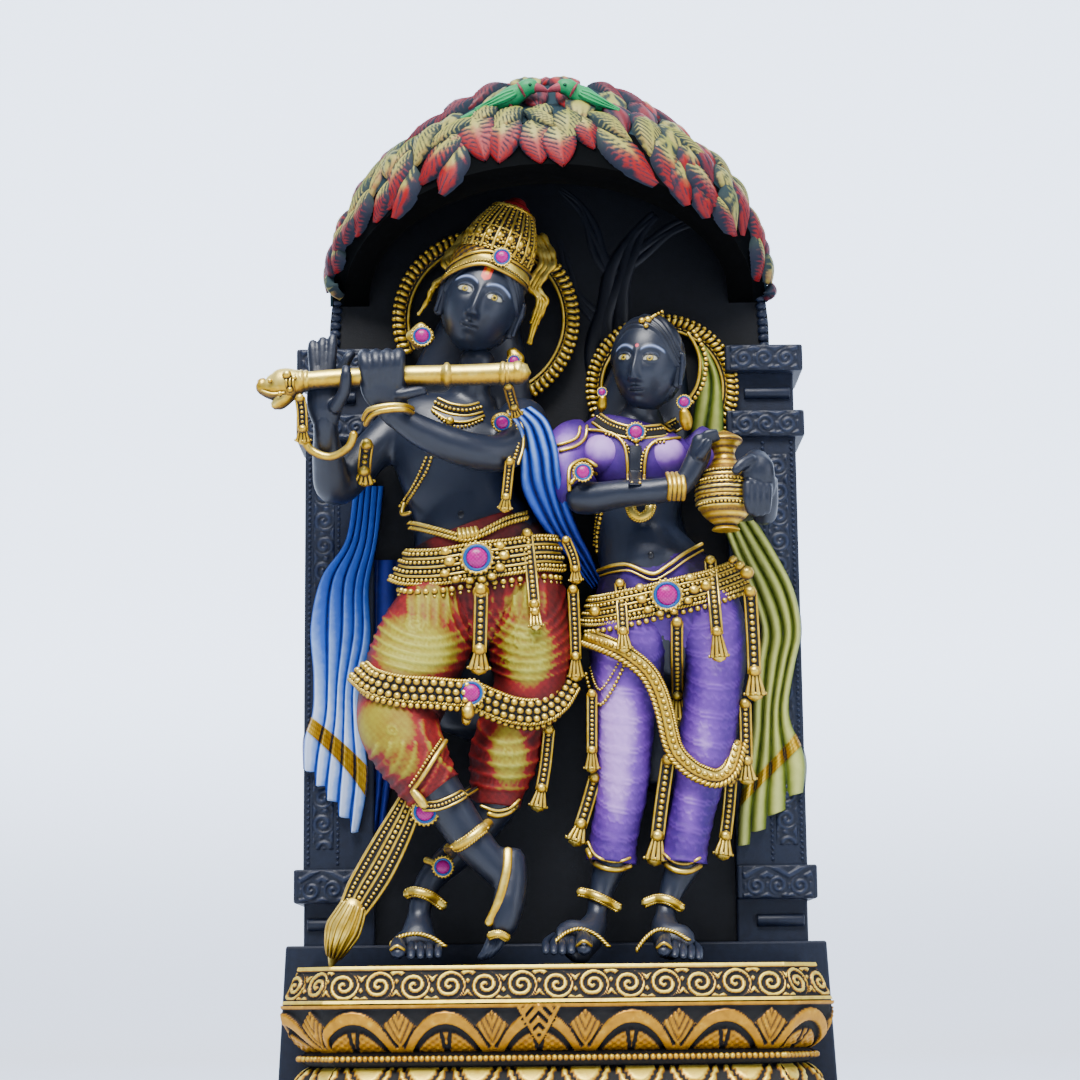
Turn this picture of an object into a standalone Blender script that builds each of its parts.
# Radha and Krishna under a leafy hood: one painted stone-resin casting, figures in deep relief on a niche slab.
# Metres, +Z up. The front faces -Y, and the origin is the middle of the flat underside.
import math

import bmesh
import bpy
from mathutils import Matrix, Vector

MM = 0.001

# Lotus base, from the floor up
PLINTH_HEIGHT = 0.020
LOWER_LOTUS_HEIGHT = 0.019
BEAD_MOULDING_HEIGHT = 0.0085
UPPER_LOTUS_HEIGHT = 0.021
FRIEZE_HEIGHT = 0.0175
BASE_DEPTH = 0.124
BASE_WIDTH = 0.262
BASE_CHAMFER = 0.020
BASE_BOW = 0.007
FRIEZE_INSET = 0.008
BEAD_INSET = 0.0075
NECK_INSET = 0.017
PLINTH_INSET = 0.002
PETALS_ACROSS = 5
PETAL_PITCH = 0.0445
PETAL_RELIEF = 0.0025

# Niche slab. Its heights, like all that follow, are above the stand, the base's top.
SLAB_THICKNESS = 0.033
SLAB_WIDTH = 0.232
SPRINGING_HEIGHT = 0.329
ARCH_RISE = 0.116
FOOT_HEIGHT = 0.012
FOOT_OUTSET = 0.020
FOOT_SPREAD = 0.005
EDGE_ROUND = 0.002

# Pilasters at both edges of the slab, with a sill below and a capital above, each with a bar in a recess
PILASTER_WIDTH = 0.036
PILASTER_OUTSET = 0.0115
PILASTER_RELIEF = 0.010
SILL_BAND = 0.017
SILL_OUTSET = 0.016
BAND_RELIEF = 0.013
CAPITAL_HEIGHT = 0.271
CAPITAL_BAND = 0.014
RECESS_HEIGHT = 0.021
RECESS_RELIEF = 0.005
BAR_RADIUS = 0.0032
BAR_LENGTH = 0.024

# Hood over the niche: part of an egg-shaped shell, cut by a plane that rises towards the front
HOOD_HEIGHT = 0.346
HOOD_WIDTH = 0.216
HOOD_REACH = 0.092
HOOD_RISE = 0.102
HOOD_SHELL = 0.013
HOOD_SLOPE = math.radians(33)
LEAF_LENGTH = 0.030
LEAF_WIDTH = 0.0195
LEAF_THICKNESS = 0.009
# Each row: slope of its middle in degrees, number of leaves, first and last place round the rim in degrees, and
# how far its leaves' middles stand off the hood in millimetres
LEAF_ROWS = ((38, 17, 4, 176, 2.5), (50, 16, 8, 172, 3), (65, 12, 24, 156, 6.5))

# The figures' places are (column, row, out): where a low viewpoint shows the point on a reading grid laid over
# the front, counted in steps from its top left, and how far the point stands out of the wall in millimetres.
GRID_SIDE = 1080
GRID_STEP = 0.0005
EYE_DISTANCE = 1.3
EYE_PITCH = math.radians(10)
EYE_SHIFT = -0.006
GRID_LEAN = 0.0105
GRID_OUT = 0.052
GRID_MIDDLE_HEIGHT = 0.2105

# How finely the figures are fused, and how many triangles they keep
FUSE_VOXEL = 0.0013
FIGURE_TRIANGLES = 6300
SMALLEST_ISLAND = 12
LIMB_SIDES = 14
STATION_STEPS = 4

# Limbs: places with their half width and half depth in millimetres
KRISHNA = {
    "trunk": [(484, 618, 24, 34, 20), (483, 590, 26, 41, 23), (480, 556, 26, 39, 22), (468, 515, 25, 29, 20),
              (457, 480, 25, 29, 20), (456, 450, 25, 36, 21), (462, 424, 24, 35, 18), (470, 405, 24, 15, 12)],
    "neck": [(468, 412, 24, 10, 10), (473, 385, 28, 9.5, 9.5), (478, 360, 32, 10, 10)],
    "web": [(482, 700, 6, 30, 12), (480, 600, 6, 34, 14), (470, 500, 6, 30, 14), (470, 400, 6, 34, 12),
            (484, 310, 8, 18, 14)],
    "left_arm": [(527, 420, 32, 11), (519, 440, 46, 11), (500, 453, 58, 9.5), (468, 450, 66, 9),
                 (430, 436, 70, 8.5), (398, 418, 73, 7), (388, 402, 75, 8.5, 6.5), (381, 383, 78, 12, 6.5),
                 (379, 366, 79, 11.5, 5.5)],
    "left_thumb": [(398, 392, 76, 3.2), (410, 390, 76, 2.8), (424, 392, 74, 2.4)],
    "right_arm": [(402, 425, 22, 11), (372, 452, 28, 10.5), (337, 487, 38, 9.5), (329, 462, 52, 8.5),
                  (326, 434, 64, 6.5), (325, 410, 69, 9, 5), (324, 385, 68, 9.5, 4.5)],
    "right_fingers": [(330, 386, 68, 8, 3.4), (325, 362, 66, 8.5, 3.2), (323, 343, 65, 7, 2.6)],
    "right_thumb": [(336, 410, 74, 3.4), (345, 390, 79, 3.2), (346, 366, 81, 3.2)],
    "flute": [(297, 381, 75, 4.3), (345, 378, 75, 4.6), (408, 376, 76, 5), (520, 373, 78, 5.4)],
    "flute_head": [(299, 382, 75, 6.5), (288, 386, 75, 9.5, 7), (276, 391, 75, 9, 6), (267, 393, 75, 6, 4.5)],
    "flute_cord": [(301, 394, 74, 3), (302, 420, 71, 3.2), (306, 442, 65, 3.6)],
    "wrist_ring": [(306, 436, 62, 3.6), (316, 454, 60, 3.6), (338, 457, 62, 3.6), (350, 440, 64, 3.6)],
    "hair": [(446, 296, 26, 6, 9), (431, 326, 24, 8, 10), (425, 354, 18, 7, 9)],
    "earring": [(421, 336, 33, 7, 5), (423, 348, 33, 5, 4)],
    "shoulder_tassel": [(508, 380, 70, 3), (515, 412, 58, 3), (508, 460, 52, 3.4), (504, 500, 50, 4)],
    "crossing_leg": [(440, 600, 28, 19), (427, 632, 32, 22.5), (409, 680, 40, 23.5), (399, 726, 52, 19),
                     (413, 757, 57, 17), (430, 784, 58, 14), (451, 810, 58, 11), (473, 842, 60, 10),
                     (497, 868, 62, 8.5)],
    "crossing_foot": [(511, 858, 60, 7.5), (511, 885, 64, 7.5), (505, 918, 66, 8), (497, 944, 68, 7, 5),
                      (484, 958, 69, 4.5, 3.5)],
    "standing_leg": [(530, 600, 28, 18), (531, 650, 30, 20), (528, 690, 30, 17.5), (510, 730, 30, 16),
                     (503, 762, 31, 16.5), (496, 800, 32, 12), (465, 845, 34, 9), (430, 880, 38, 6.8),
                     (419, 918, 44, 5.8)],
    "standing_foot": [(419, 926, 42, 7, 7), (417, 942, 54, 10, 7), (416, 954, 68, 14, 5), (416, 960, 78, 12.5, 2.8)],
    "leg_web": [(470, 640, 8, 38, 14), (470, 720, 8, 34, 14), (472, 800, 8, 20, 14), (460, 880, 8, 14, 14),
                (455, 962, 10, 24, 16)],
    "sash": [(414, 790, 46, 8, 6), (396, 834, 46, 10, 6), (372, 882, 46, 10.5, 7), (354, 912, 46, 8, 7),
             (343, 932, 46, 8.5, 8), (334, 960, 46, 2.5, 2.5)],
    "side_tassel": [(572, 585, 34, 4, 4), (574, 640, 34, 4, 4), (575, 674, 34, 5, 5)],
    "rear_tassel": [(548, 728, 30, 3.5, 3.5), (542, 775, 30, 4, 4), (538, 804, 30, 5, 5)],
    "front_tassel": [(481, 590, 50, 6, 5), (480, 640, 50, 4, 4), (479, 668, 50, 4.5, 4.5)],
    "belt": [(413, 566, 30, 7, 20), (440, 569, 40, 8.5, 9), (480, 562, 44, 9, 8), (525, 558, 42, 9, 8),
             (560, 556, 32, 8, 16)],
    "thigh_band": [(368, 676, 42, 5.5, 9), (400, 684, 60, 5.5, 5), (440, 692, 60, 5.5, 5), (476, 696, 50, 6, 6),
                   (505, 710, 46, 5.5, 5), (540, 706, 46, 5.5, 5), (566, 682, 36, 5, 7)],
    "scarf_left": {
        "near": [(353, 486), (345, 540), (320, 578), (311, 626), (313, 674), (311, 712), (305, 750), (308, 781),
                 (326, 798), (347, 833)],
        "far": [(384, 486), (378, 540), (368, 588), (371, 640), (361, 690), (363, 728), (366, 752), (364, 780),
                (362, 805), (359, 833)],
        "out": [18, 18, 16, 16, 18, 18, 18, 18, 18, 16],
    },
    "scarf_right": {
        "near": [(508, 412), (530, 440), (536, 480), (546, 530), (562, 585)],
        "far": [(534, 404), (556, 428), (568, 478), (583, 530), (598, 580)],
        "out": [40, 30, 24, 20, 18],
    },
    "halo": (486, 320, 7),
    "head": (480, 303, 36),
    "crown": (489, 274, 36),
}
KRISHNA_LEAN = 15.5
CROWN_LEAN = 22
CROWN_PROFILE = ((20, 0), (20, 7), (17.5, 14), (17, 21), (13, 30), (11.5, 34), (9, 37), (5, 41))
KRISHNA_HEAD = (19.5, 22, 26)
KRISHNA_HALO = (45, 4.5, -110, 146)

RADHA = {
    "trunk": [(660, 640, 24, 33, 20), (662, 615, 26, 38, 22), (654, 580, 26, 31, 20), (638, 540, 25, 22, 17),
              (636, 505, 25, 22.5, 17), (636, 470, 26, 27, 19), (636, 445, 25, 31, 17), (640, 425, 25, 14, 11)],
    "neck": [(640, 432, 25, 9, 9), (642, 412, 28, 8.5, 8.5), (645, 392, 32, 9, 9)],
    "web": [(664, 760, 6, 24, 12), (662, 640, 6, 30, 14), (640, 520, 6, 22, 14), (640, 440, 6, 28, 12),
            (652, 360, 8, 18, 14)],
    "right_breast": [(603, 450, 34, 10), (602, 457, 42, 9)],
    "left_breast": [(664, 452, 34, 10), (665, 459, 42, 9)],
    "right_arm": [(574, 446, 26, 12), (568, 470, 32, 12), (579, 495, 44, 10.5), (618, 494, 56, 7.2),
                  (658, 491, 61, 6.6), (682, 484, 62, 5.8), (695, 464, 63, 6.4, 5), (702, 444, 62, 6, 4.5),
                  (714, 433, 62, 4, 3.5)],
    "left_arm": [(697, 447, 24, 10.5), (716, 470, 22, 10), (738, 505, 24, 8.5), (756, 500, 38, 7),
                 (760, 482, 48, 8.5, 5), (760, 466, 50, 7.5, 4.5)],
    "left_fingers": [(763, 480, 48, 7.5, 4), (764, 498, 50, 6.5, 3.4), (762, 516, 50, 5, 2.6)],
    "left_leg": [(630, 640, 28, 21), (626, 700, 30, 15.5), (624, 741, 31, 13.5), (622, 790, 31, 12.2),
                 (614, 838, 31, 11.5), (611, 868, 32, 10.5), (603, 886, 34, 6.5), (597, 918, 40, 5.4)],
    "left_foot": [(596, 926, 40, 6.5, 6.5), (588, 942, 52, 9, 7), (574, 954, 66, 14, 5), (570, 960, 76, 13, 2.8)],
    "right_leg": [(706, 630, 28, 19), (714, 674, 30, 15), (707, 741, 31, 13), (695, 798, 31, 11.2),
                  (685, 846, 31, 10.3), (683, 872, 32, 9.5), (672, 890, 34, 6.3), (664, 918, 40, 5.2)],
    "right_foot": [(664, 926, 40, 6.5, 6.5), (666, 942, 52, 8.5, 7), (671, 954, 66, 13.5, 5), (675, 960, 76, 12, 2.8)],
    "leg_web": [(664, 660, 8, 30, 14), (660, 760, 8, 26, 14), (650, 850, 8, 24, 14), (640, 962, 10, 30, 16)],
    "belt": [(588, 614, 32, 8, 16), (625, 604, 44, 8, 8), (667, 595, 48, 8.5, 8), (705, 586, 46, 8, 8),
             (738, 578, 34, 8, 16)],
    "sash": [(588, 640, 42, 4, 5), (622, 652, 50, 4, 4), (648, 672, 50, 4, 4), (664, 703, 48, 4, 4),
             (676, 747, 46, 4, 4), (696, 768, 46, 4, 4), (718, 775, 44, 4, 5), (734, 756, 38, 4, 8)],
    "front_tassel": [(676, 624, 50, 5, 5), (677, 680, 49, 3.8, 3.8), (678, 718, 49, 4.5, 4.5)],
    "side_tassel": [(750, 572, 36, 5, 5), (753, 640, 30, 4, 4), (754, 692, 30, 5.5, 5.5)],
    "rear_tassel": [(742, 703, 28, 4, 4), (745, 745, 28, 4, 4), (745, 776, 28, 5.5, 5.5)],
    "low_tassel": [(731, 779, 24, 4, 4), (727, 820, 24, 4.5, 4.5), (723, 852, 24, 5.5, 5.5)],
    "mid_tassel": [(668, 760, 32, 4, 4), (661, 810, 30, 4.5, 4.5), (655, 857, 30, 5.5, 5.5)],
    "left_tassel": [(592, 693, 34, 3.5, 3.5), (592, 766, 32, 4.5, 4.5)],
    "foot_tassel": [(594, 777, 28, 4, 4), (586, 808, 28, 4.5, 4.5), (577, 838, 26, 5.5, 5.5)],
    "scarf": {
        "near": [(730, 520), (738, 548), (752, 590), (764, 636), (756, 693), (749, 731), (741, 785), (743, 838)],
        "far": [(752, 526), (770, 556), (790, 590), (801, 636), (799, 693), (802, 735), (805, 785), (766, 836)],
        "out": [22, 18, 16, 16, 16, 16, 16, 16],
    },
    "veil": {
        "near": [(690, 345), (700, 375), (698, 410), (696, 432)],
        "far": [(704, 345), (718, 375), (722, 410), (722, 436)],
        "out": [24, 20, 18, 16],
    },
    "halo": (662, 389, 7),
    "head": (648, 364, 36),
    "pot": (726, 530, 56),
}
RADHA_LEAN = 11
RADHA_HEAD = (17.5, 20, 24)
RADHA_HALO = (36, 4, -110, 122)
POT_PROFILE = ((6, 0), (5.5, 3), (11, 9), (14.5, 17), (14, 25), (9.5, 32), (5.2, 38), (8, 44), (8, 47), (5, 51))

# Tree on the niche wall
TREE = (
    [(606, 430, 0, 11, 4), (607, 370, 0, 9.5, 4), (607, 328, 0, 9.5, 4), (618, 282, 0, 7, 3.5), (633, 240, 2, 5, 3)],
    [(620, 280, 0, 5, 3), (596, 240, 0, 4.5, 3), (588, 205, 2, 4, 3)],
    [(628, 258, 0, 4.5, 3), (662, 228, 1, 4, 3), (690, 215, 2, 3.5, 3)],
)
# A bird on top of the hood, tail to beak: (around the rim from its middle and slope, both in degrees, then lift
# and radii in millimetres). Its twin faces it.
BIRD = ((30, 50, 6, 3, 3), (21, 54, 7, 4.5, 4), (10.5, 58, 8, 8, 7), (5, 60, 13, 5, 5), (1.5, 60, 14, 2.8, 3))

STAND = PLINTH_HEIGHT + LOWER_LOTUS_HEIGHT + BEAD_MOULDING_HEIGHT + UPPER_LOTUS_HEIGHT + FRIEZE_HEIGHT
BACK_Y = BASE_DEPTH / 2
WALL_Y = BACK_Y - SLAB_THICKNESS

for leftover in list(bpy.data.objects):
    bpy.data.objects.remove(leftover)


def new_collection(name):
    collection = bpy.data.collections.new(name)
    bpy.context.scene.collection.children.link(collection)
    return collection


casting = new_collection("radha_krishna_statue")
members = new_collection("casting_members")
carvings = new_collection("casting_carvings")
cutters = new_collection("casting_cutters")


def finished_mesh(bm, name):
    bmesh.ops.recalc_face_normals(bm, faces=bm.faces)
    mesh = bpy.data.meshes.new(name)
    bm.to_mesh(mesh)
    bm.free()
    return mesh


def hidden(name, mesh, collection):
    """A piece that the casting is joined from or cut by."""
    obj = bpy.data.objects.new(name, mesh)
    collection.objects.link(obj)
    obj.hide_render = True
    obj.display_type = "WIRE"
    return obj


def rounded(obj, width):
    bevel = obj.modifiers.new("cast_edges", "BEVEL")
    bevel.width = width
    bevel.segments = 1
    bevel.limit_method = "ANGLE"
    return obj


def block(name, left, right, front, back, bottom, top, spread=0.0):
    """A box between these faces, wider by `spread` each side at its bottom."""
    bm = bmesh.new()
    bmesh.ops.create_cube(bm, size=1)
    for vert in bm.verts:
        side = 1 if vert.co.x > 0 else -1
        x = right if side > 0 else left
        vert.co = (
            x + (side * spread if vert.co.z < 0 else 0),
            back if vert.co.y > 0 else front,
            top if vert.co.z > 0 else bottom,
        )
    return rounded(hidden(name, finished_mesh(bm, name), members), EDGE_ROUND)


def base_outline(inset):
    """The base's plan, its front bowed and its front corners cut off."""
    half = BASE_WIDTH / 2 - inset
    front = -BASE_DEPTH / 2 + inset
    corner = half - BASE_CHAMFER
    pieces = 8
    bowed = []
    for k in range(pieces + 1):
        across = 2 * k / pieces - 1
        bowed.append((corner * across, front + BASE_BOW * across ** 2))
    inside = WALL_Y + SLAB_THICKNESS / 2
    side = front + BASE_BOW + BASE_CHAMFER
    return [(-half, side), *bowed, (half, side), (half, inside), (-half, inside)]


def lotus_base():
    """The stacked mouldings: plinth, petals turned down, beads, petals turned up and frieze."""
    heights = [0, PLINTH_HEIGHT]
    heights.append(heights[-1] + LOWER_LOTUS_HEIGHT)
    heights.append(heights[-1] + BEAD_MOULDING_HEIGHT)
    heights.append(heights[-1] + UPPER_LOTUS_HEIGHT)
    lower, neck, upper, ridge = heights[1:]
    levels = [(0, PLINTH_INSET), (lower, PLINTH_INSET)]
    turns = 5
    for k in range(turns + 1):
        turn = math.pi / 2 * k / turns
        levels.append((
            lower + LOWER_LOTUS_HEIGHT * math.sin(turn),
            PLINTH_INSET + (NECK_INSET - PLINTH_INSET) * (1 - math.cos(turn)),
        ))
    for k in range(turns):
        turn = math.pi * (k + 0.5) / turns
        levels.append((
            neck + BEAD_MOULDING_HEIGHT * (1 - math.cos(turn)) / 2,
            NECK_INSET - (NECK_INSET - BEAD_INSET) * math.sin(turn),
        ))
    for k in range(turns + 1):
        turn = math.pi / 2 * k / turns
        levels.append((upper + UPPER_LOTUS_HEIGHT * (1 - math.cos(turn)), NECK_INSET * (1 - math.sin(turn))))
    levels.append((STAND, FRIEZE_INSET))
    bm = bmesh.new()
    rings = []
    for height, inset in levels:
        if rings and height - rings[-1][0].co.z < 1e-6:
            continue
        rings.append([bm.verts.new((x, y, height)) for x, y in base_outline(inset)])
    for ring, above in zip(rings, rings[1:]):
        for k in range(len(ring)):
            n = (k + 1) % len(ring)
            bm.faces.new((ring[k], ring[n], above[n], above[k]))
    bm.faces.new(rings[0])
    bm.faces.new(rings[-1])
    return finished_mesh(bm, "lotus_base")


def slab():
    """The flat back with its arched top, and a foot that runs down to the floor."""
    half = SLAB_WIDTH / 2
    springing = STAND + SPRINGING_HEIGHT
    outline = bpy.data.curves.new("slab_outline", "CURVE")
    outline.dimensions = "2D"
    outline.fill_mode = "BOTH"
    outline.extrude = SLAB_THICKNESS / 2
    pieces = 28
    points = [(-half, 0), (half, 0)]
    for k in range(pieces + 1):
        turn = math.pi * k / pieces
        points.append((half * math.cos(turn), springing + ARCH_RISE * math.sin(turn)))
    spline = outline.splines.new("POLY")
    spline.points.add(len(points) - 1)
    for point, (x, z) in zip(spline.points, points):
        point.co = (x, z, 0, 1)
    spline.use_cyclic_u = True
    drawn = bpy.data.objects.new("slab_outline", outline)
    members.objects.link(drawn)
    mesh = evaluated_copy(drawn)
    bpy.data.objects.remove(drawn)
    bm = bmesh.new()
    bm.from_mesh(mesh)
    bpy.data.meshes.remove(mesh)
    stand_up = Matrix.Translation((0, BACK_Y - SLAB_THICKNESS / 2, 0)) @ Matrix.Rotation(math.pi / 2, 4, "X")
    bmesh.ops.transform(bm, matrix=stand_up, verts=bm.verts)
    bmesh.ops.remove_doubles(bm, verts=bm.verts, dist=1e-5)
    rounded(hidden("slab", finished_mesh(bm, "slab"), members), EDGE_ROUND)
    foot = half + FOOT_OUTSET
    block("slab_foot", -foot, foot, WALL_Y - PILASTER_RELIEF, BACK_Y, 0, STAND + FOOT_HEIGHT, FOOT_SPREAD)


def pilaster(name, side):
    """One edge of the slab: shaft, sill and capital, each recess with its bar. `side` is 1 at +X and -1 at -X."""
    half = SLAB_WIDTH / 2

    def part_of(piece, outset, relief, bottom, top):
        inner, outer = side * (half + PILASTER_OUTSET - PILASTER_WIDTH), side * (half + outset)
        # The back stays clear of the slab's own, so that no two faces lie in one plane.
        block(f"{name}_{piece}", min(inner, outer), max(inner, outer), WALL_Y - relief, BACK_Y - EDGE_ROUND,
              STAND + bottom, STAND + top)

    sill = FOOT_HEIGHT + RECESS_HEIGHT
    capital = CAPITAL_HEIGHT + CAPITAL_BAND
    overlap = EDGE_ROUND
    part_of("sill_recess", PILASTER_OUTSET, RECESS_RELIEF, FOOT_HEIGHT - overlap, sill + overlap)
    part_of("sill_band", SILL_OUTSET, BAND_RELIEF, sill, sill + SILL_BAND)
    part_of("shaft", PILASTER_OUTSET, PILASTER_RELIEF, sill + SILL_BAND - overlap, CAPITAL_HEIGHT + overlap)
    part_of("lower_band", SILL_OUTSET, BAND_RELIEF, CAPITAL_HEIGHT, capital)
    part_of("capital_recess", PILASTER_OUTSET, RECESS_RELIEF, capital - overlap, capital + RECESS_HEIGHT + overlap)
    part_of("upper_band", SILL_OUTSET, BAND_RELIEF, capital + RECESS_HEIGHT, capital + RECESS_HEIGHT + CAPITAL_BAND)
    for place, bottom in (("sill", FOOT_HEIGHT), ("capital", capital)):
        bm = bmesh.new()
        middle = side * (half + PILASTER_OUTSET - EDGE_ROUND - BAR_LENGTH / 2)
        lie = Matrix.Translation((middle, WALL_Y - RECESS_RELIEF, STAND + bottom + RECESS_HEIGHT / 2))
        bmesh.ops.create_cone(bm, cap_ends=True, segments=12, radius1=BAR_RADIUS, radius2=BAR_RADIUS,
                              depth=BAR_LENGTH, matrix=lie @ Matrix.Rotation(math.pi / 2, 4, "Y"))
        hidden(f"{name}_{place}_bar", finished_mesh(bm, f"{name}_{place}_bar"), members)


def hood():
    """The shell over the niche, hollowed and cut off along its sloping rim."""
    middle = Vector((0, WALL_Y, STAND + HOOD_HEIGHT))

    def egg(name, shrink, collection):
        bm = bmesh.new()
        size = Matrix.Diagonal((HOOD_WIDTH / 2 - shrink, HOOD_REACH - shrink, HOOD_RISE - shrink, 1))
        bmesh.ops.create_uvsphere(bm, u_segments=26, v_segments=14, radius=1,
                                  matrix=Matrix.Translation(middle) @ size)
        return hidden(name, finished_mesh(bm, name), collection)

    shell = egg("hood_shell", 0, members)
    hollow = egg("hood_hollow", HOOD_SHELL, cutters)
    bm = bmesh.new()
    room = 2 * max(HOOD_WIDTH, HOOD_REACH, HOOD_RISE)
    below = Matrix.Translation(middle) @ Matrix.Rotation(-HOOD_SLOPE, 4, "X") @ Matrix.Translation((0, 0, -room / 2))
    bmesh.ops.create_cube(bm, size=room, matrix=below)
    rim_cut = hidden("hood_rim_cut", finished_mesh(bm, "hood_rim_cut"), cutters)
    bm = bmesh.new()
    behind = Matrix.Translation(middle + Vector((0, SLAB_THICKNESS / 2 + room / 2, 0)))
    bmesh.ops.create_cube(bm, size=room, matrix=behind)
    back_cut = hidden("hood_back_cut", finished_mesh(bm, "hood_back_cut"), cutters)
    for cutter in (hollow, rim_cut, back_cut):
        cut = shell.modifiers.new(cutter.name, "BOOLEAN")
        cut.operation = "DIFFERENCE"
        cut.object = cutter


def seen(column, row, out):
    """The point `out` millimetres from the wall that the low viewpoint shows at this place of the grid."""
    across = column - GRID_SIDE / 2
    above = GRID_SIDE / 2 - row
    across, above = across + GRID_LEAN * above, above - GRID_LEAN * across
    reach = EYE_DISTANCE / GRID_STEP
    cosine, sine = math.cos(EYE_PITCH), math.sin(EYE_PITCH)
    middle = Vector((EYE_SHIFT, WALL_Y - GRID_OUT, STAND + GRID_MIDDLE_HEIGHT))
    eye = middle - EYE_DISTANCE * Vector((0, cosine, sine))
    ray = Vector((across, reach * cosine - above * sine, reach * sine + above * cosine))
    return eye + ray * ((WALL_Y - out * MM - eye.y) / ray.y)


def between(rows):
    """The rows of numbers with STATION_STEPS - 1 more between each two, on a smooth curve through them."""
    padded = [rows[0], *rows, rows[-1]]
    fine = []
    for before, start, end, after in zip(padded, padded[1:], padded[2:], padded[3:]):
        for step in range(STATION_STEPS):
            t = step / STATION_STEPS
            fine.append([
                b + 0.5 * t * (c - a + t * (2 * a - 5 * b + 4 * c - d + t * (3 * b - a - 3 * c + d)))
                for a, b, c, d in zip(before, start, end, after)
            ])
    fine.append(list(rows[-1]))
    return fine


def limb(bm, places):
    """A limb along grid places, each with its half width and half depth in millimetres."""
    rows = []
    for place in places:
        wide = place[3] * MM
        deep = (place[4] if len(place) > 4 else place[3]) * MM
        rows.append((*seen(*place[:3]), wide, deep))
    loft(bm, rows)


def loft(bm, rows):
    """A closed loft through rows (x, y, z, half width, half depth), with blunt ends."""
    fine = [(Vector(row[:3]), row[3], row[4]) for row in between(rows)]
    ends = []
    for (point, wide, deep), neighbour in ((fine[0], fine[1]), (fine[-1], fine[-2])):
        outward = (point - neighbour[0]).normalized()
        ends.append((point + outward * min(wide, deep) * 0.6, wide * 0.6, deep * 0.6))
    fine = [ends[0], *fine, ends[1]]
    rings = []
    for index, (point, wide, deep) in enumerate(fine):
        along = (fine[min(index + 1, len(fine) - 1)][0] - fine[max(index - 1, 0)][0]).normalized()
        side = along.cross(Vector((0, 1, 0)))
        side = side.normalized() if side.length > 0.35 else Vector((1, 0, 0)) * (1 if side.x >= 0 else -1)
        front = side.cross(along).normalized()
        ring = []
        for k in range(LIMB_SIDES):
            turn = 2 * math.pi * k / LIMB_SIDES
            ring.append(bm.verts.new(point + side * wide * math.cos(turn) + front * deep * math.sin(turn)))
        rings.append(ring)
    for ring, following in zip(rings, rings[1:]):
        for k in range(LIMB_SIDES):
            n = (k + 1) % LIMB_SIDES
            bm.faces.new((ring[k], ring[n], following[n], following[k]))
    bm.faces.new(rings[0])
    bm.faces.new(rings[-1])


def folded_cloth(bm, cloth, folds, relief):
    """Cloth hanging in parallel folds between its near and its far edge."""
    for fold in range(folds):
        share = (fold + 0.5) / folds
        places = []
        for near, far, out in zip(cloth["near"], cloth["far"], cloth["out"]):
            column = near[0] + (far[0] - near[0]) * share
            row = near[1] + (far[1] - near[1]) * share
            wide = math.dist(near, far) * GRID_STEP / MM / folds * 0.56
            places.append((column, row, out - relief, wide, relief))
        limb(bm, places)
    backing = [
        ((near[0] + far[0]) / 2, (near[1] + far[1]) / 2, out / 2 - relief / 2,
         math.dist(near, far) * GRID_STEP / MM * 0.47, out / 2)
        for near, far, out in zip(cloth["near"], cloth["far"], cloth["out"])
    ]
    limb(bm, backing)


def egg_at(bm, point, axes, radii):
    """An egg with these radii in metres along three axes."""
    turn = Matrix([[axis[k] for axis in axes] for k in range(3)]).to_4x4()
    bmesh.ops.create_icosphere(bm, subdivisions=3, radius=1,
                               matrix=Matrix.Translation(point) @ turn @ Matrix.Diagonal((*radii, 1)))


def head(bm, place, radii, lean):
    angle = math.radians(lean)
    up = Vector((math.sin(angle), 0, math.cos(angle)))
    side = Vector((math.cos(angle), 0, -math.sin(angle)))
    egg_at(bm, seen(*place), (side, Vector((0, 1, 0)), up), [r * MM for r in radii])


def stacked(bm, place, profile, lean):
    """A turned piece: cones stacked along a leaning axis, from (radius, height) pairs in millimetres."""
    turn = Matrix.Translation(seen(*place)) @ Matrix.Rotation(math.radians(lean), 4, "Y")
    for (radius, low), (next_radius, high) in zip(profile, profile[1:]):
        lift = Matrix.Translation((0, 0, (low + high) / 2 * MM))
        bmesh.ops.create_cone(bm, cap_ends=True, segments=28, radius1=radius * MM, radius2=next_radius * MM,
                              depth=(high - low + 0.4) * MM, matrix=turn @ lift)


def halo(bm, place, hoop):
    """A hoop that faces the front: radius and tube in millimetres, then its two clock angles in degrees."""
    radius, tube, start, end = hoop
    middle = seen(*place)
    beads = 64
    for k in range(beads + 1):
        angle = math.radians(start + (end - start) * k / beads)
        point = middle + Vector((math.sin(angle), 0, math.cos(angle))) * radius * MM
        bmesh.ops.create_icosphere(bm, subdivisions=2, radius=tube * MM, matrix=Matrix.Translation(point))


def hood_point(around, slope):
    """A point of the hood's surface: `around` the rim from +X to -X, and the slope of the plane it lies in."""
    reach = 1 / math.hypot(math.cos(slope) / HOOD_REACH, math.sin(slope) / HOOD_RISE)
    return Vector((
        HOOD_WIDTH / 2 * math.cos(around),
        WALL_Y - reach * math.cos(slope) * math.sin(around),
        STAND + HOOD_HEIGHT + reach * math.sin(slope) * math.sin(around),
    ))


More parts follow.
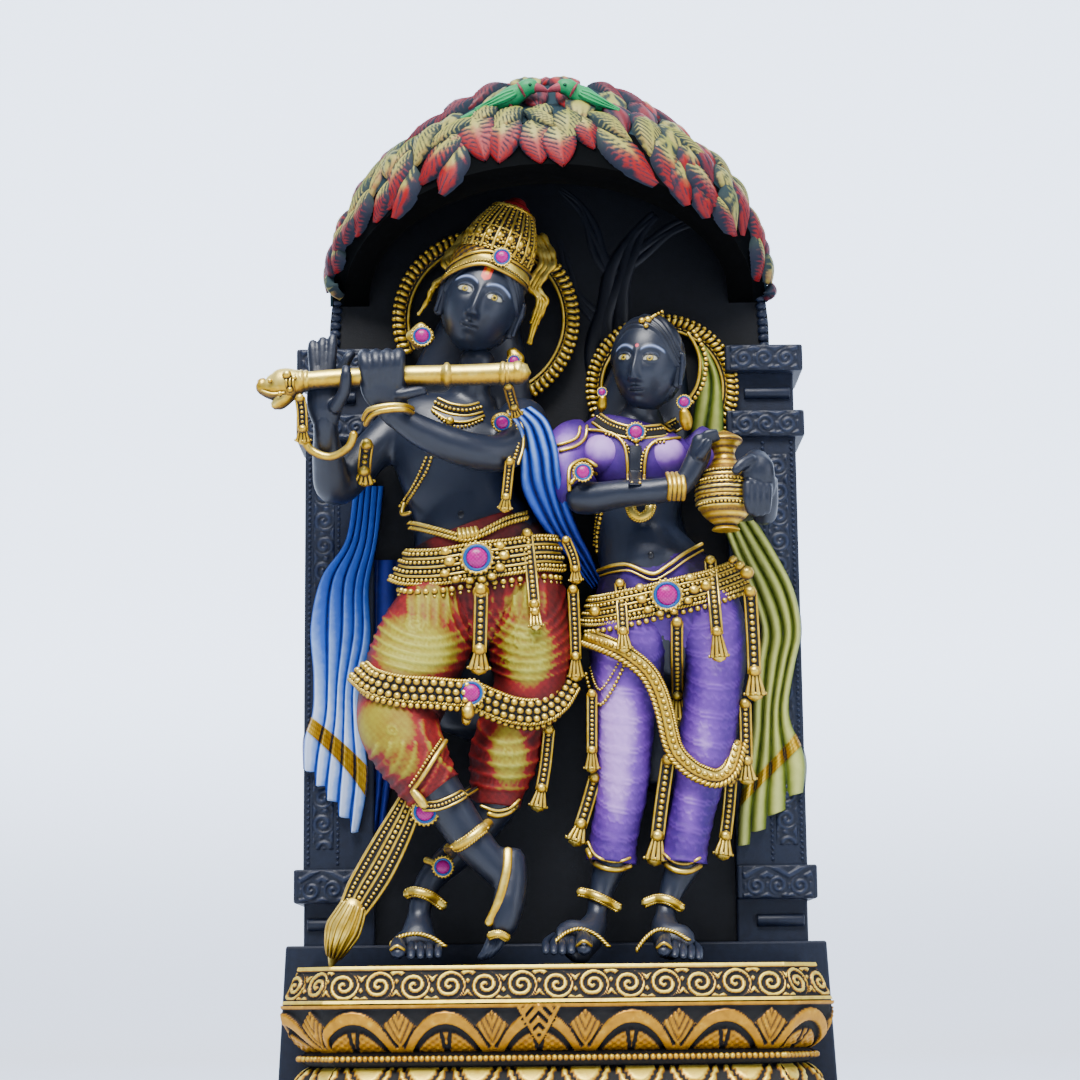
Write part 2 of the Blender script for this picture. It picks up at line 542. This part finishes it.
def leaves(bm):
    """Overlapping rows of leaves on the hood, their tips towards the rim."""
    step = math.radians(1)
    for slope_degrees, count, first, last, lift in LEAF_ROWS:
        slope = math.radians(slope_degrees)
        for k in range(count):
            around = math.radians(first + (last - first) * k / (count - 1))
            point = hood_point(around, slope)
            # Near the springing all slopes meet, so the leaf's axis leans on the rim's own direction there.
            along_rim = (hood_point(around + step, slope) - hood_point(around - step, slope)).normalized()
            normal = (point - Vector((0, WALL_Y, STAND + HOOD_HEIGHT))).normalized()
            normal = (normal - along_rim * normal.dot(along_rim)).normalized()
            down = along_rim.cross(normal).normalized()
            egg_at(bm, point + normal * lift * MM, (along_rim, down, normal),
                   (LEAF_WIDTH / 2, LEAF_LENGTH / 2, LEAF_THICKNESS / 2))


def bird(bm, side):
    """A bird seated on the hood; `side` is 1 at +X and -1 at -X."""
    rows = []
    for around, slope, lift, wide, deep in BIRD:
        point = hood_point(math.pi / 2 - side * math.radians(around), math.radians(slope))
        outward = (point - Vector((0, WALL_Y, STAND + HOOD_HEIGHT))).normalized()
        rows.append((*(point + outward * lift * MM), wide * MM, deep * MM))
    loft(bm, rows)


def petals(bm):
    """Broad petals in low relief round the front of the upper lotus."""
    middle = STAND - FRIEZE_HEIGHT - UPPER_LOTUS_HEIGHT * 0.55
    for k in range(PETALS_ACROSS):
        x = (k - (PETALS_ACROSS - 1) / 2) * PETAL_PITCH
        across = x / (BASE_WIDTH / 2)
        y = -BASE_DEPTH / 2 + NECK_INSET * 0.35 + BASE_BOW * across ** 2
        lean = math.atan2(UPPER_LOTUS_HEIGHT, NECK_INSET)
        up = Vector((0, -math.cos(lean), math.sin(lean)))
        egg_at(bm, Vector((x, y, middle)), (Vector((1, 0, 0)), up, Vector((1, 0, 0)).cross(up)),
               (PETAL_PITCH * 0.45, UPPER_LOTUS_HEIGHT * 0.5, PETAL_RELIEF + NECK_INSET * 0.12))


def figures():
    """Everything carved in the round, as overlapping closed shapes."""
    bm = bmesh.new()
    for figure in (KRISHNA, RADHA):
        for form in figure.values():
            if isinstance(form, list):
                limb(bm, form)
    folded_cloth(bm, KRISHNA["scarf_left"], 5, 5)
    folded_cloth(bm, KRISHNA["scarf_right"], 4, 5)
    folded_cloth(bm, RADHA["scarf"], 5, 5)
    folded_cloth(bm, RADHA["veil"], 2, 5)
    head(bm, KRISHNA["head"], KRISHNA_HEAD, KRISHNA_LEAN)
    head(bm, RADHA["head"], RADHA_HEAD, RADHA_LEAN)
    stacked(bm, KRISHNA["crown"], CROWN_PROFILE, CROWN_LEAN)
    stacked(bm, RADHA["pot"], POT_PROFILE, 0)
    halo(bm, KRISHNA["halo"], KRISHNA_HALO)
    halo(bm, RADHA["halo"], RADHA_HALO)
    for branch in TREE:
        limb(bm, branch)
    for side in (-1, 1):
        bird(bm, side)
    leaves(bm)
    petals(bm)
    return finished_mesh(bm, "figures")


def evaluated_copy(obj):
    return bpy.data.meshes.new_from_object(obj.evaluated_get(bpy.context.evaluated_depsgraph_get()))


def drop_scraps(mesh, fewest):
    """Takes off islands of fewer than `fewest` points, the flat scraps that thinning out can leave."""
    bm = bmesh.new()
    bm.from_mesh(mesh)
    waiting = set(bm.verts)
    scraps = []
    while waiting:
        island = [waiting.pop()]
        for vert in island:
            for edge in vert.link_edges:
                other = edge.other_vert(vert)
                if other in waiting:
                    waiting.discard(other)
                    island.append(other)
        if len(island) < fewest:
            scraps += island
    bmesh.ops.delete(bm, geom=scraps, context="VERTS")
    bm.to_mesh(mesh)
    bm.free()


def fused(mesh):
    """The shapes fused into one skin by a voxel remesh, then thinned out to FIGURE_TRIANGLES."""
    loose = hidden("figures_loose", mesh, members)
    remesh = loose.modifiers.new("fuse", "REMESH")
    remesh.mode = "VOXEL"
    remesh.voxel_size = FUSE_VOXEL
    smooth = loose.modifiers.new("soften", "SMOOTH")
    smooth.factor = 0.5
    smooth.iterations = 2
    skin = evaluated_copy(loose)
    bpy.data.objects.remove(loose)
    dense = hidden("figures_dense", skin, members)
    thin = dense.modifiers.new("thin_out", "DECIMATE")
    triangles = sum(len(face.vertices) - 2 for face in skin.polygons)
    thin.ratio = min(1, FIGURE_TRIANGLES / triangles)
    thin.use_collapse_triangulate = True
    thinned = evaluated_copy(dense)
    bpy.data.objects.remove(dense)
    drop_scraps(thinned, SMALLEST_ISLAND)
    return hidden("figures", thinned, carvings)


def painted_resin():
    material = bpy.data.materials.new("painted_stone_resin")
    material.use_nodes = True
    shader = material.node_tree.nodes["Principled BSDF"]
    shader.inputs["Base Color"].default_value = (0.022, 0.027, 0.042, 1)
    shader.inputs["Roughness"].default_value = 0.5
    shader.inputs["Metallic"].default_value = 0.0
    material.diffuse_color = (0.022, 0.027, 0.042, 1)
    return material


slab()
pilaster("right_pilaster", 1)
pilaster("left_pilaster", -1)
hood()
carved = fused(figures())

statue = bpy.data.objects.new("radha_krishna_statue", lotus_base())
casting.objects.link(statue)
join = statue.modifiers.new("one_casting", "BOOLEAN")
join.operation = "UNION"
join.operand_type = "COLLECTION"
join.collection = members
carve = statue.modifiers.new("figures_on_the_slab", "BOOLEAN")
carve.operation = "UNION"
# The thinned figures graze themselves here and there, which the exact solver leaves as pinched edges.
carve.solver = "MANIFOLD"
carve.object = carved
statue.data.materials.append(painted_resin())
